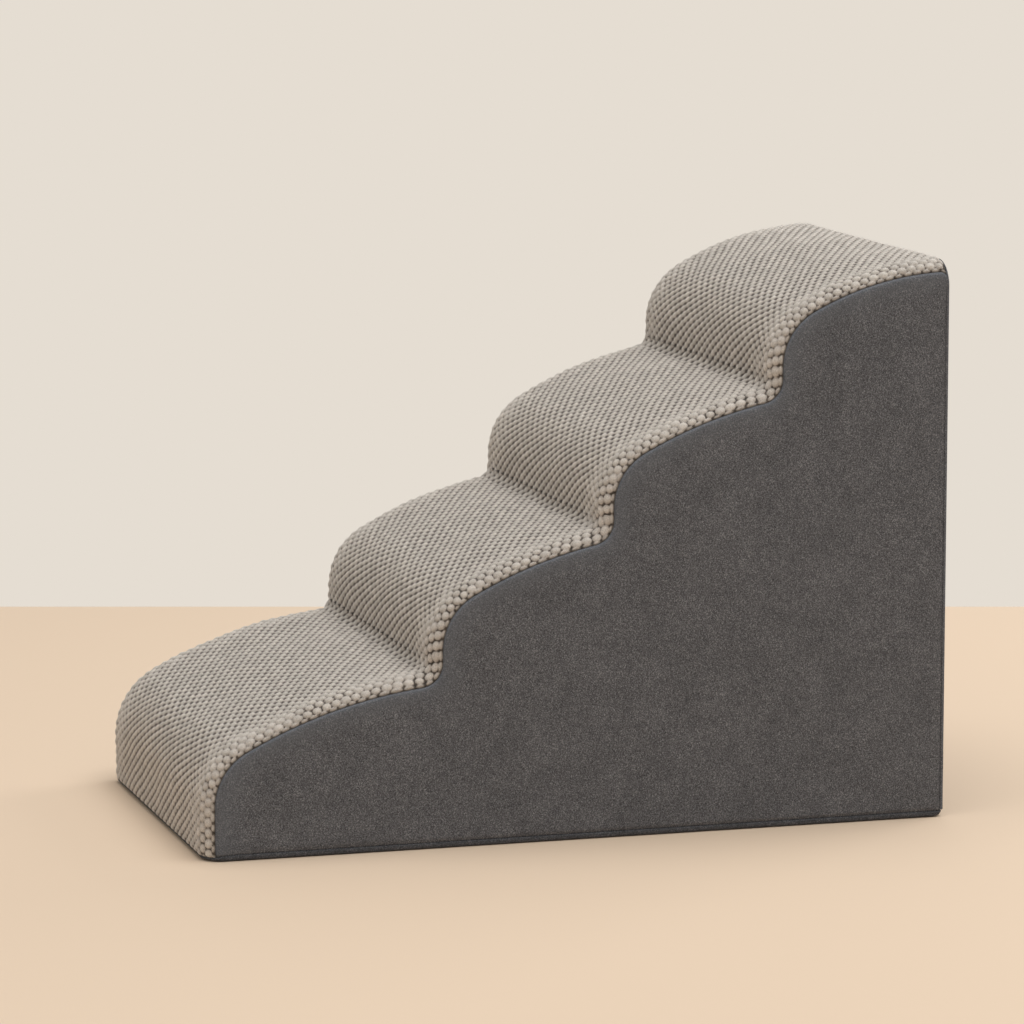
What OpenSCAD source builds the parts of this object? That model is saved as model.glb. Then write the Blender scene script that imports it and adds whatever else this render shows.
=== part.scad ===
// Foam stairs for a pet: four curved steps in a zipped, removable cloth cover.
// X runs from the toe of the lowest step to the back, Y across the treads, Z up.

/* [Stairs] */
// Width across the treads
stair_w = 400; // [320:5:500]
// How many steps there are
steps = 4; // [3:1:5]
// Depth of the lowest step, from its front to the next riser
first_run = 218; // [205:1:260]
// Depth of each middle step
run = 166; // [160:1:210]
// Depth of the top step, from its riser to the back
last_run = 178; // [165:1:220]
// Height of the lowest step at the next riser
first_rise = 166; // [158:1:175]
// Height of each middle step
rise = 127; // [120:1:134]
// Height of the top step at the back
last_rise = 118; // [114:1:130]

/* [Step shape] */
// Straight part of the lowest riser, up from the floor
first_riser_h = 50; // [42:1:56]
// Straight part of every other riser, up from its crease line
riser_h = 20; // [14:1:24]
// Radius of the rounded nose
nose_r = 70; // [60:1:74]
// How far the nose turns before the tread begins, in degrees
nose_turn = 62; // [57:1:66]
// Radius of the soft crease where a tread meets the next riser
crease_r = 4; // [2:0.5:8]
// Radius of the rolled edges along both sides
edge_r = 20; // [14:1:24]
// How far round that edge the tread cloth reaches, in degrees
seam_turn = 66; // [45:1:75]

/* [Foam] */
// Thickness of the soft foam under the tread cloth
comfort_t = 20; // [10:1:24]
// Clearance of the foam from the cloth round it
foam_fit = 0.3; // [0.2:0.1:1]
// Clearance left for the glue between the soft foam and the core
glue_gap = 0.3; // [0.2:0.1:1]

/* [Cover] */
// Thickness of the knitted cloth and of the suede panels
cloth_t = 3; // [2:0.5:5]
// Open width of the stitched line between tread cloth and side panel
seam_gap = 0.3; // [0.2:0.1:1]
// Thickness of the non-slip base
base_t = 2.5; // [1.5:0.5:4]
// Height of the lip that the base turns up round the sides and back
lip_h = 6; // [4:0.5:12]
// Height of the groove between that lip and the panels
groove_h = 1; // [0.5:0.25:2]

/* [Zip] */
// Height of the zip above the floor
zip_z = 55; // [30:1:90]
// Distance from each end of the zip to the side of the stairs
zip_inset = 22; // [20:1:60]
// Distance from one tooth to the next on the same tape
tooth_pitch = 2.8; // [2.7:0.1:3]
// Thickness of the moulded teeth
tooth_t = 2.4; // [2:0.1:3]
// Radius of a tooth's head
tooth_head_r = 0.76; // [0.7:0.02:0.78]
// How far each head reaches past the middle of the chain
tooth_reach = 0.5; // [0.45:0.01:0.55]
// Width of the neck behind the head
tooth_neck = 0.9; // [0.6:0.05:1]
// Half the width of the closed chain
chain_half = 3; // [2.8:0.1:4]
// Thickness of the woven tape
tape_t = 0.7; // [0.5:0.1:1]
// Width of one tape
tape_w = 12; // [10:1:16]
// Visible gap between the chain's middle and the panel's folded edge
zip_window = 8; // [8:0.5:10]

/* [Slider] */
// Length of the slider body
slider_len = 14; // [13:0.5:14.5]
// Thickness of each slider plate
plate_t = 1.2; // [1:0.1:1.6]
// Width of the flanges that hold the teeth
flange_w = 0.8; // [0.6:0.1:1]
// How far each side of the slider flares out from its tail to its mouth
flare = 3.4; // [3.2:0.1:3.6]
// Clearance between the slider and the teeth
slider_fit = 0.15; // [0.1:0.05:0.25]
// Radius of the pull tab's pin
pin_r = 0.7; // [0.5:0.05:0.9]
// Running clearance round that pin
pin_fit = 0.08; // [0.03:0.01:0.1]
// Length of the pull tab from its pin
tab_len = 25; // [18:1:35]
// Width of the pull tab
tab_w = 6.6; // [6:0.2:9]
// Thickness of the pull tab
tab_t = 1.4; // [1:0.1:1.8]

/* [Hidden] */
$fn = 48;

// Flat facets round each kind of bend
nose_facets = 9;
tread_facets = 8;
crease_facets = 5;
roll_facets = 6;
panel_facets = 3;

last = steps - 1;
stair_len = first_run + (steps - 2) * run + last_run;
stair_h = first_rise + (steps - 2) * rise + last_rise;
half_w = stair_w / 2;
core_depth = cloth_t + foam_fit + comfort_t + glue_gap;
foam_half_w = half_w - cloth_t - foam_fit;
panel_low = lip_h + groove_h;
panel_x = stair_len - cloth_t;                 // inner face of the back panels
foam_x = panel_x - tape_t - foam_fit;          // back of the foam
slab_h = (stair_h - base_t) / 4;
ease = 0.02;                                   // how much deeper the slabs' crease is cut, to cross cleanly

// The zip's middle lies at zip_x, halfway through the tapes
zip_half = half_w - zip_inset;
zip_x = panel_x - tape_t / 2;
plate_gap = tooth_t / 2 + slider_fit;
plate_out = plate_gap + plate_t;
crown_r = pin_r + 1;
crown_w = 3;
ear_r = pin_r + 0.5;
pin_x = zip_x + plate_out + crown_r + 0.3;
tail_half = chain_half + slider_fit + flange_w;
mouth_half = tail_half + flare;
stop_len = 2;
slider_y = zip_half - stop_len - slider_len / 2 - 4;
tail_y = slider_y - slider_len / 2;
waist_r = (slider_len * slider_len + flare * flare) / (2 * flare);
row_r = waist_r + flange_w + slider_fit;       // bend of a parted tape's edge, about the waist's centre
tip_r = row_r + chain_half + tooth_reach + tooth_head_r;
mouth_tape = chain_half + row_r - sqrt(row_r * row_r - slider_len * slider_len);
bead_low = chain_half * 0.6;                   // the moulded bead that joins the teeth's roots
bead_top = chain_half * 0.92;
relief_h = mouth_half + 2;
relief_x = zip_x - plate_out - 0.6;
teeth_from = -zip_half + stop_len + 4;
tooth_count = floor((tail_y + slider_len - teeth_from) / tooth_pitch - 0.5);

// The whole part is centred over its footprint, pull tab included
to_centre = [-(pin_x + crown_r) / 2, 0, 0];

// Corners of the stair line, where a crease would be sharp
function step_x(k) = k == 0 ? 0 : first_run + (k - 1) * run;
function step_z(k) = k == 0 ? 0 : first_rise + (k - 1) * rise;
function end_x(k) = k == last ? stair_len : step_x(k + 1);
function end_z(k) = k == last ? stair_h : step_z(k + 1);

// Nose: an arc that leaves the riser upright and turns by nose_turn
function nose_c(k) = [step_x(k) + nose_r, step_z(k) + (k == 0 ? first_riser_h : riser_h)];
nose_dir = [-cos(nose_turn), sin(nose_turn)];
function nose_end(k) = nose_c(k) + nose_r * nose_dir;

// Tread: the arc that goes on smoothly from the nose and passes through the corner behind it
function chord(k) = [end_x(k), end_z(k)] - nose_end(k);
function tread_r(k) = -(chord(k) * chord(k)) / (2 * (chord(k) * nose_dir));
function tread_c(k) = nose_end(k) - tread_r(k) * nose_dir;

// Crease: a hollow arc that touches the tread and the next riser
function crease_x(k) = end_x(k) - crease_r;
function crease_c(k) = [crease_x(k), tread_c(k).y
    + sqrt(pow(tread_r(k) + crease_r, 2) - pow(crease_x(k) - tread_c(k).x, 2))];
function crease_dir(k) = let (v = crease_c(k) - tread_c(k)) atan2(v.y, v.x);

// Stations along the stair line, each [centre, radius, direction]. A hollow bend's radius is negative,
// so that moving inward by a depth always takes the depth off the radius. The last one has no direction:
// it lies wherever the layer that is being made ends.
function arc(centre, r, from, to, facets, first = 0) =
    [for (i = [first : facets]) [centre, r, from + (to - from) * i / facets]];
function last_dir() = acos((stair_len - tread_c(last).x) / tread_r(last));
function step_stations(k) = concat(
    arc(nose_c(k), nose_r, 180, 180 - nose_turn, nose_facets),
    k < last
        ? concat(
            arc(tread_c(k), tread_r(k), 180 - nose_turn, crease_dir(k), tread_facets, 1),
            arc(crease_c(k), -crease_r, crease_dir(k), 180, crease_facets, 1))
        : concat(
            arc(tread_c(k), tread_r(k), 180 - nose_turn, last_dir() + 2, tread_facets, 1),
            [[tread_c(k), tread_r(k), undef]]));
function stations(low) = concat(
    [[[nose_c(0).x, low], nose_r, 180]],
    [for (k = [0 : last]) each step_stations(k)]);

// Where a station's line crosses a layer at this depth, in a layer that ends at end_x
function spot(s, depth, end_x) =
    let (dir = s[2] == undef ? acos((end_x - s[0].x) / (s[1] - depth)) : s[2])
    s[0] + (s[1] - depth) * [cos(dir), sin(dir)];

// Rolled edge in section: points [distance from the middle, depth], on a radius about the edge's own centre
function roll(r, from, to, facets) =
    [for (i = [0 : facets])
        let (turn = from + (to - from) * i / facets)
        [half_w - edge_r + r * sin(turn), edge_r - r * cos(turn)]];
function flip(points) = [for (i = [len(points) - 1 : -1 : 0]) [-points[i].x, points[i].y]];
function reverse(points) = [for (i = [len(points) - 1 : -1 : 0]) points[i]];

// The points of a section at every station, for a layer that ends at end_x
function loft_points(line, section, end_x) =
    [for (s = line) for (p = section)
        let (at = spot(s, p.y, end_x)) [at.x, p.x, at.y]];

// Faces between n-point sections at consecutive stations, leaving out one side of the section if asked
function loft_faces(count, n, open_side = -1) =
    [for (i = [0 : count - 2]) for (j = [0 : n - 1]) if (j != open_side) for (half = [0, 1])
        let (next = (j + 1) % n, a = i * n, b = a + n)
        half == 0 ? [a + j, a + next, b + next] : [a + j, b + next, b + j]];

// The two ends of the loft. A section is a band: its second half runs back along the first.
function end_faces(count, n) =
    let (end = (count - 1) * n)
    [for (j = [0 : n / 2 - 2]) for (face = [
        [j + 1, j, n - 1 - j], [j + 1, n - 1 - j, n - 2 - j],
        [end + j, end + j + 1, end + n - 1 - j], [end + j + 1, end + n - 2 - j, end + n - 1 - j]]) face];

// Lofts a section along the stair line, from a height above the floor to a plane across the back
module along_stairs(section, low, end_x) {
    line = stations(low);
    n = len(section);
    polyhedron(
        points = loft_points(line, section, end_x),
        faces = concat(loft_faces(len(line), n), end_faces(len(line), n)));
}

// The stairs' side view, drawn a given depth under the cloth's face
module stair_area(depth) {
    for (k = [0 : last]) {
        translate([step_x(k) + depth, 0])
            square([stair_len - step_x(k) - depth, nose_c(k).y]);
        translate(nose_c(k))
            circle(nose_r - depth, $fn = 180);
        intersection() {
            translate(tread_c(k))
                circle(tread_r(k) - depth, $fn = 360);
            translate([nose_c(k).x + (nose_r - depth) * nose_dir.x, step_z(k)])
                square([end_x(k) + (k == last ? 0 : depth) - nose_c(k).x - (nose_r - depth) * nose_dir.x,
                    stair_h]);
        }
        if (k < last) {
            touch_x = crease_x(k) - (crease_r + depth) * cos(crease_dir(k));
            difference() {
                translate([touch_x, step_z(k)])
                    square([end_x(k) + nose_r - touch_x, crease_c(k).y - step_z(k)]);
                translate(crease_c(k))
                    circle(crease_r + depth + ease, $fn = 96);
            }
        }
    }
}

// ---- Cover ----

module tread_cover() {
    outer = roll(edge_r, 0, seam_turn, roll_facets);
    inner = roll(edge_r - cloth_t, 0, seam_turn, roll_facets);
    color("#aca39b")
        translate(to_centre)
            along_stairs(concat(flip(outer), outer, reverse(inner), flip(reverse(inner))), base_t, panel_x);
}

// Side panel: its rolled edge follows the stair line up to the seam, and its flat face fans out from
// the lower corner at the back
module side_panel() {
    seam = seam_turn + seam_gap / edge_r * 180 / PI;
    outer = roll(edge_r, seam, 90, panel_facets);
    inner = roll(edge_r - cloth_t, seam, 90, panel_facets);
    section = concat(outer, reverse(inner));
    line = stations(panel_low);
    n = len(section);
    m = n / 2;
    rim = n * len(line);                       // the two corners at the back, outer and inner
    end = rim - n;
    polyhedron(
        points = concat(
            loft_points(line, section, panel_x),
            [[panel_x, half_w, panel_low], [panel_x, half_w - cloth_t, panel_low]]),
        faces = concat(
            loft_faces(len(line), n, m - 1),
            end_faces(len(line), n),
            [for (i = [0 : len(line) - 2]) for (face = [
                [rim, (i + 1) * n + m - 1, i * n + m - 1], [rim + 1, i * n + m, (i + 1) * n + m]]) face],
            [[rim, m - 1, m], [rim, m, rim + 1],
                [end + m - 1, rim, rim + 1], [end + m - 1, rim + 1, end + m]]));
}

module left_side_panel() {
    color("#534f4d")
        translate(to_centre)
            side_panel();
}

module right_side_panel() {
    color("#534f4d")
        translate(to_centre)
            mirror([0, 1, 0])
                side_panel();
}

// What the folded corners of the back take away: its upright edges, and its top edge
module back_rounding() {
    difference() {
        translate([panel_x, -stair_w, -1])
            cube([2 * cloth_t, 2 * stair_w, stair_h + edge_r]);
        intersection() {
            union() {
                for (side = [-1, 1])
                    translate([panel_x, side * (half_w - cloth_t), -2])
                        cylinder(r = cloth_t, h = stair_h + edge_r);
                translate([panel_x - 1, cloth_t - half_w, -2])
                    cube([cloth_t + 1, stair_w - 2 * cloth_t, stair_h + edge_r]);
            }
            union() {
                translate([panel_x, stair_w, stair_h - cloth_t])
                    rotate([90, 0, 0])
                        cylinder(r = cloth_t, h = 2 * stair_w);
                translate([panel_x - 1, -stair_w, -2])
                    cube([cloth_t + 1, 2 * stair_w, stair_h - cloth_t + 2]);
            }
        }
    }
}

// Back of the cover, with its upper corners rolled like the treads' edges
module back_sheet(low, high) {
    difference() {
        translate([panel_x, 0, 0])
            rotate([90, 0, 90])
                linear_extrude(cloth_t)
                    intersection() {
                        translate([-half_w, low])
                            square([stair_w, high - low]);
                        union() {
                            translate([-half_w, 0])
                                square([stair_w, stair_h - edge_r]);
                            translate([edge_r - half_w, 0])
                                square([stair_w - 2 * edge_r, stair_h]);
                            for (side = [-1, 1])
                                translate([side * (half_w - edge_r), stair_h - edge_r])
                                    circle(edge_r);
                        }
                    }
        back_rounding();
    }
}

module upper_back_panel() {
    color("#534f4d")
        translate(to_centre)
            back_sheet(zip_z + zip_window, stair_h);
}

module lower_back_panel() {
    color("#534f4d")
        translate(to_centre)
            back_sheet(panel_low, zip_z - zip_window);
}

// Non-slip base: a shallow tray whose lip turns up round the sides and the back
module base_outline(inset) {
    difference() {
        translate([inset, inset - half_w])
            square([stair_len - 2 * inset, stair_w - 2 * inset]);
        for (side = [-1, 1])
            difference() {
                translate([0, side * half_w - edge_r])
                    square([edge_r, 2 * edge_r]);
                translate([edge_r, side * (half_w - edge_r)])
                    circle(edge_r - inset);
            }
    }
}

module base_panel() {
    color("#3f3c3b")
        translate(to_centre)
            difference() {
                linear_extrude(lip_h)
                    base_outline(0);
                translate([0, 0, base_t])
                    linear_extrude(lip_h)
                        base_outline(cloth_t);
                translate([-1, -half_w, base_t])
                    cube([edge_r + 1, stair_w, lip_h]);
                back_rounding();
            }
}

// ---- Foam ----

module comfort_foam() {
    depth = cloth_t + foam_fit;
    top = roll(edge_r - depth, 0, 90, roll_facets);
    half = concat(top, [[foam_half_w, depth + comfort_t]]);
    color("#d9c9a3")
        translate(to_centre)
            along_stairs(concat(flip(half), half), base_t, foam_x);
}

// One slab of the core, cut to the stair line. The lowest one gives way behind the zip.
module foam_slab(n) {
    difference() {
        translate([0, foam_half_w, 0])
            rotate([90, 0, 0])
                linear_extrude(2 * foam_half_w)
                    intersection() {
                        stair_area(core_depth);
                        translate([0, base_t + n * slab_h])
                            square([foam_x, slab_h]);
                    }
        translate([relief_x, -stair_w, zip_z - relief_h])
            cube([stair_len, 2 * stair_w, 2 * relief_h]);
    }
}

module bottom_foam_slab() {
    color("#e6dcc6")
        translate(to_centre)
            foam_slab(0);
}

module lower_foam_slab() {
    color("#e2d6bd")
        translate(to_centre)
            foam_slab(1);
}

module upper_foam_slab() {
    color("#e6dcc6")
        translate(to_centre)
            foam_slab(2);
}

module top_foam_slab() {
    color("#e2d6bd")
        translate(to_centre)
            foam_slab(3);
}

// ---- Zip ----

// Lays a drawing onto the zip's plane, t thick about it, so that its x runs along the zip and its y up
module on_zip(t, middle = 0) {
    translate([zip_x + middle - t / 2, 0, zip_z])
        rotate([90, 0, 90])
            linear_extrude(t)
                children();
}

// Inside the slider a row bends away on an arc, so that its teeth fan out and let go of the other row.
// How far it has turned at a length along the tape's edge, and where a point at a height on it lies.
function row_turn(along) = along <= tail_y ? 0 : (along - tail_y) / row_r * 180 / PI;
function on_row(along, height) =
    let (r = row_r + chain_half - height, turn = row_turn(along))
    turn == 0 ? [along, height] : [tail_y + r * sin(turn), chain_half + row_r - r * cos(turn)];

// A moulded tooth: a round head on a narrow neck, and a root that grips the tape's edge
module tooth() {
    root_low = chain_half / 2;
    translate([0, -tooth_reach])
        circle(tooth_head_r, $fn = 24);
    translate([-tooth_neck / 2, -tooth_reach])
        square([tooth_neck, tooth_reach + bead_low]);
    translate([-tooth_pitch * 0.36, root_low])
        square([tooth_pitch * 0.72, chain_half - root_low]);
}

// One row of teeth, whose roots a moulded bead joins along the tape
module teeth_row(offset) {
    for (i = [0 : tooth_count - 1]) {
        along = teeth_from + (i + offset) * tooth_pitch;
        next = along + tooth_pitch;
        translate(on_row(along, 0))
            rotate(row_turn(along))
                tooth();
        if (i < tooth_count - 1)
            polygon([on_row(along, bead_low), on_row(next, bead_low),
                on_row(next, bead_top), on_row(along, bead_top)]);
    }
}

module upper_zip_teeth() {
    color("#2f2d2d")
        translate(to_centre)
            on_zip(tooth_t)
                teeth_row(0);
}

module lower_zip_teeth() {
    color("#2f2d2d")
        translate(to_centre)
            on_zip(tooth_t)
                mirror([0, 1])
                    teeth_row(0.5);
}

// The tape's edge runs along the teeth, bends away with them and stands back beyond the slider
module zip_tape() {
    low = -zip_half - tape_w / 2;
    translate([low, chain_half])
        square([tail_y - low, tape_w]);
    intersection() {
        translate([tail_y, chain_half + row_r])
            circle(row_r, $fn = 180);
        translate([tail_y - 1, chain_half])
            square([slider_len + 1, tape_w]);
    }
    translate([tail_y + slider_len - 1, mouth_tape])
        square([zip_half + tape_w / 2 - tail_y - slider_len + 1, tape_w + chain_half - mouth_tape]);
}

module upper_zip_tape() {
    color("#454242")
        translate(to_centre)
            on_zip(tape_t)
                zip_tape();
}

module lower_zip_tape() {
    color("#454242")
        translate(to_centre)
            on_zip(tape_t)
                mirror([0, 1])
                    zip_tape();
}

module zip_top_stops() {
    color("#2f2d2d")
        translate(to_centre)
            on_zip(tooth_t)
                for (side = [0, 1])
                    mirror([0, side])
                        translate([tail_y + slider_len + slider_fit * 2, mouth_tape - 1.6])
                            square([stop_len, 1.6]);
}

module zip_bottom_stop() {
    color("#2f2d2d")
        translate(to_centre)
            on_zip(tooth_t)
                translate([-zip_half, -chain_half])
                    square([stop_len, 2 * chain_half]);
}

// Cloth tabs that close the slit beyond both ends of the zip
module zip_end_tabs() {
    color("#4b4746")
        translate(to_centre)
            difference() {
                for (side = [-1, 1])
                    translate([panel_x, side > 0 ? zip_half : -half_w, zip_z - zip_window])
                        cube([cloth_t, half_w - zip_half, 2 * zip_window]);
                back_rounding();
            }
}

// ---- Slider ----

// Slider seen from behind: its two sides flare on an arc from the tail to the mouth
module slider_outline(inset) {
    difference() {
        translate([-slider_len / 2, -mouth_half - 1])
            square([slider_len, 2 * mouth_half + 2]);
        for (side = [-1, 1])
            translate([-slider_len / 2, side * (tail_half + waist_r)])
                circle(waist_r + inset, $fn = 180);
    }
}

// The wedge that keeps the two rows apart, between the plates. It fills what their heads leave free.
module slider_wedge() {
    difference() {
        translate([0, -mouth_half])
            square([slider_len / 2 - 0.6, 2 * mouth_half]);
        for (side = [-1, 1])
            translate([-slider_len / 2, side * (chain_half + row_r)])
                circle(tip_r + slider_fit, $fn = 180);
    }
}

module zip_slider() {
    slot = tape_t / 2 + slider_fit;
    grip = plate_gap + plate_t / 2;            // flanges and wedge go halfway into the plates
    color("#3b3b3d")
        translate(to_centre)
            difference() {
                union() {
                    for (face = [-1, 1]) {
                        translate([0, slider_y, 0])
                            on_zip(plate_t, face * grip)
                                slider_outline(0);
                        translate([0, slider_y, 0])
                            on_zip(grip - slot, face * (grip + slot) / 2)
                                difference() {
                                    slider_outline(0);
                                    slider_outline(flange_w);
                                    translate([-slider_len, -chain_half])
                                        square([2 * slider_len, 2 * chain_half]);
                                }
                    }
                    translate([0, slider_y, 0])
                        on_zip(2 * grip)
                            slider_wedge();
                    crown();
                }
                translate([pin_x, slider_y, zip_z - crown_w])
                    cylinder(r = pin_r + pin_fit, h = 2 * crown_w);
            }
}

// The crown on the outer plate, which the pull tab's pin runs through
module crown() {
    translate([pin_x, slider_y, zip_z - crown_w / 2])
        cylinder(r = crown_r, h = crown_w);
    translate([zip_x + plate_gap + plate_t / 2, slider_y - crown_r, zip_z - crown_w / 2])
        cube([pin_x - zip_x - plate_gap - plate_t / 2, 2 * crown_r, crown_w]);
}

// Pull tab, lying along the closed chain: two ears, the pin between them and a tongue with a hole
module zip_pull_tab() {
    window = crown_r + 0.8;
    color("#3b3b3d")
        translate(to_centre)
            translate([pin_x, slider_y, zip_z]) {
                translate([0, 0, -tab_w / 2])
                    cylinder(r = pin_r, h = tab_w);
                difference() {
                    union() {
                        translate([0, 0, -tab_w / 2])
                            cylinder(r = ear_r, h = tab_w);
                        translate([-tab_t / 2, tab_w / 2 - tab_len, -tab_w / 2])
                            cube([tab_t, tab_len - tab_w / 2, tab_w]);
                        translate([-tab_t / 2, tab_w / 2 - tab_len, 0])
                            rotate([0, 90, 0])
                                cylinder(d = tab_w, h = tab_t);
                    }
                    translate([-2 * tab_t, -window, -crown_w / 2 - 0.2])
                        cube([4 * tab_t, 2 * window, crown_w + 0.4]);
                    translate([-tab_t, tab_w / 2 - tab_len, 0])
                        rotate([0, 90, 0])
                            cylinder(r = tab_w / 4, h = 2 * tab_t);
                }
            }
}

tread_cover();
left_side_panel();
right_side_panel();
upper_back_panel();
lower_back_panel();
base_panel();
comfort_foam();
bottom_foam_slab();
lower_foam_slab();
upper_foam_slab();
top_foam_slab();
upper_zip_tape();
lower_zip_tape();
upper_zip_teeth();
lower_zip_teeth();
zip_top_stops();
zip_bottom_stop();
zip_end_tabs();
zip_slider();
zip_pull_tab();
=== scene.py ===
import math

import bmesh
import bpy
import numpy as np
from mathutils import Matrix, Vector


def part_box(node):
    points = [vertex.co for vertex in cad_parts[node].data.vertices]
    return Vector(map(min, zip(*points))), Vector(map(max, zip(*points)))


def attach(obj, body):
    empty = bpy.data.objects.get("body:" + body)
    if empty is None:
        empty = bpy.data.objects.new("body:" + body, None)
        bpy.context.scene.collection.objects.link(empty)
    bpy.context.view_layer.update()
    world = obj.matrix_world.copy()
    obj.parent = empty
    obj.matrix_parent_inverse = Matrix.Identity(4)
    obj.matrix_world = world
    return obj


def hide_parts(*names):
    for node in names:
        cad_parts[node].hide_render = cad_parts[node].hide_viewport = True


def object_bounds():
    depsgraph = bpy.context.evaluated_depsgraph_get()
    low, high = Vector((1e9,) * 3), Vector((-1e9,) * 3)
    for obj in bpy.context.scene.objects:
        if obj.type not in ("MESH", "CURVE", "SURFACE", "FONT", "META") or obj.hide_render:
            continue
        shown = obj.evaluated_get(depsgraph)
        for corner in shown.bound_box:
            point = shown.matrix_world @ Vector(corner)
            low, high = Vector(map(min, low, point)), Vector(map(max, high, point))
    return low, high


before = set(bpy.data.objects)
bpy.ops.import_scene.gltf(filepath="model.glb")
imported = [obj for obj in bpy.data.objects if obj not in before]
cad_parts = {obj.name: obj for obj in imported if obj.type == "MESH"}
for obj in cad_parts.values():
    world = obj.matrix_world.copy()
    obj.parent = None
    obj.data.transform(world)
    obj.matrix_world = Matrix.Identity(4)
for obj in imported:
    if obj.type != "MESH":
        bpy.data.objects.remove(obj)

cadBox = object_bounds()
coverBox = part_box("tread_cover")
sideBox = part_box("right_side_panel")
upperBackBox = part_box("upper_back_panel")
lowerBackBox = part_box("lower_back_panel")
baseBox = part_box("base_panel")
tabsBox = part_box("zip_end_tabs")
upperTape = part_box("upper_zip_tape")
tapeReach = upperTape[1].y
halfWidth = -sideBox[0].y
toeX = coverBox[0].x
backX = upperBackBox[1].x  # outer face of the back
panelX = upperBackBox[0].x  # where the treads and sides end
floorZ = cadBox[0].z

# The stair line seen from the side, in metres from the toe and the floor
stairLine = {
    "stepX": [0.0, 0.218, 0.384, 0.550, 0.728],
    "stepZ": [0.0, 0.166, 0.293, 0.420, 0.538],
    "riser": [0.050, 0.020, 0.020, 0.020],
    "noseRadius": 0.07,
    "noseTurn": math.radians(62),
    "creaseRadius": 0.01,
    "edgeRadius": 0.02,
    "seamTurn": math.radians(66),
    "clothThick": 0.003,
}
lastStep = len(stairLine["riser"]) - 1
edgeRadius = stairLine["edgeRadius"]
softEnds = {
    "reach": 0.03,
    "lower": 0.008,         # how round the cover is along the floor
    "upper": 0.009,         # and along the top of the back
    "topFrom": 0.05,        # how far below the top that rounding sets in
    "topOver": 0.04,
}


# The camera looks at the right side, a little from the front
cameraSetup = {
    "place": (-1.3669, -4.5926, 1.0073),
    "turn": math.radians(16.462),  # to the right of straight ahead
    "drop": math.radians(8.604),  # below the horizon
    "lens": 175.78,
}


def addObject(name, data):
    made = bpy.data.objects.new(name, data)
    bpy.context.scene.collection.objects.link(made)
    return made


def addCamera():
    data = bpy.data.cameras.new("stairs_camera")
    data.lens = cameraSetup["lens"]
    data.clip_end = 60
    camera = addObject("stairs_camera", data)
    camera.location = cameraSetup["place"]
    camera.rotation_euler = (math.pi / 2 - cameraSetup["drop"], 0, -cameraSetup["turn"])
    bpy.context.scene.camera = camera


addCamera()
print("camera placed")


# Node helpers for the finishes
def colour(red, green, blue):
    # screen values 0 to 255, as the linear colour that a shader takes
    linear = []
    for value in (red / 255, green / 255, blue / 255):
        linear.append(value / 12.92 if value < 0.0404 else ((value + 0.055) / 1.055) ** 2.4)
    return (*linear, 1)


def link(finish, outSocket, inSocket):
    finish.node_tree.links.new(outSocket, inSocket)


def addNode(finish, kind, inputs=None, **settings):
    made = finish.node_tree.nodes.new("ShaderNode" + kind)
    for key, value in settings.items():
        setattr(made, key, value)
    for key, value in (inputs or {}).items():
        if isinstance(value, bpy.types.NodeSocket):
            link(finish, value, made.inputs[key])
        else:
            made.inputs[key].default_value = value
    return made


def startFinish(name, roughness, specular, **values):
    # a new finish, its shader, and where its patterns are placed
    finish = bpy.data.materials.new(name)
    finish.use_nodes = True
    shader = finish.node_tree.nodes["Principled BSDF"]
    shader.inputs["Roughness"].default_value = roughness
    shader.inputs["Specular IOR Level"].default_value = specular
    for key, value in values.items():
        shader.inputs[key.replace("_", " ")].default_value = value
    return finish, shader, addNode(finish, "TexCoord").outputs["Object"]


def noise(finish, place, scale, detail=2.0, rough=0.5):
    inputs = {"Vector": place, "Scale": scale, "Detail": detail, "Roughness": rough}
    return addNode(finish, "TexNoise", inputs).outputs["Fac"]


def ramp(finish, factor, stops):
    made = addNode(finish, "ValToRGB", {"Fac": factor})
    band = made.color_ramp
    while len(band.elements) < len(stops):
        band.elements.new(0.5)
    for element, (place, tint) in zip(band.elements, stops):
        element.position = place
        element.color = tint
    return made.outputs["Color"]


def waves(finish, place, scale, distortion, detail=None, **settings):
    inputs = {"Vector": place, "Scale": scale, "Distortion": distortion, **(detail or {})}
    return addNode(finish, "TexWave", inputs, **settings).outputs["Fac"]


def tinted(finish, shader, factor, *stops):
    link(finish, ramp(finish, factor, stops), shader.inputs["Base Color"])


def spread(finish, factor, low, high, fromLow=0.0, fromHigh=1.0):
    inputs = {"Value": factor, "From Min": fromLow, "From Max": fromHigh, "To Min": low, "To Max": high}
    return addNode(finish, "MapRange", inputs).outputs["Result"]


def mixColours(finish, blend, factor, first, second):
    inputs = {0: factor, 6: first, 7: second}
    return addNode(finish, "Mix", inputs, data_type="RGBA", blend_type=blend).outputs[2]


def maths(finish, operation, first, second):
    return addNode(finish, "Math", {0: first, 1: second}, operation=operation).outputs[0]


def weighted(finish, *parts):
    # adds up values, each times its share
    total = None
    for value, share in parts:
        scaled = maths(finish, "MULTIPLY", value, share)
        total = scaled if total is None else maths(finish, "ADD", total, scaled)
    return total


def bump(finish, shader, height, distance, strength):
    made = addNode(finish, "Bump", {"Height": height, "Distance": distance, "Strength": strength})
    link(finish, made.outputs["Normal"], shader.inputs["Normal"])


aslant = (0.6, 0.5, 0.7)  # brings no face of the cover in line with a pattern


def stretched(finish, place, scale=(1, 1, 1), turn=(0, 0, 0)):
    inputs = {"Vector": place, "Scale": scale, "Rotation": turn}
    return addNode(finish, "Mapping", inputs).outputs["Vector"]


# Knit, suede, rubber, foam, tape, plastic, metal and thread
knitLook = {
    # gap and valley are painted shade, darkest at the bottom of the gaps between bobbles
    "gap": colour(44, 36, 30),
    "valley": colour(116, 104, 92),
    "flank": colour(208, 198, 187),
    "crown": colour(230, 222, 212),
    "strandScale": 300,
    "fuzzScale": 1050,
    "relief": 0.0013,
}


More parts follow.
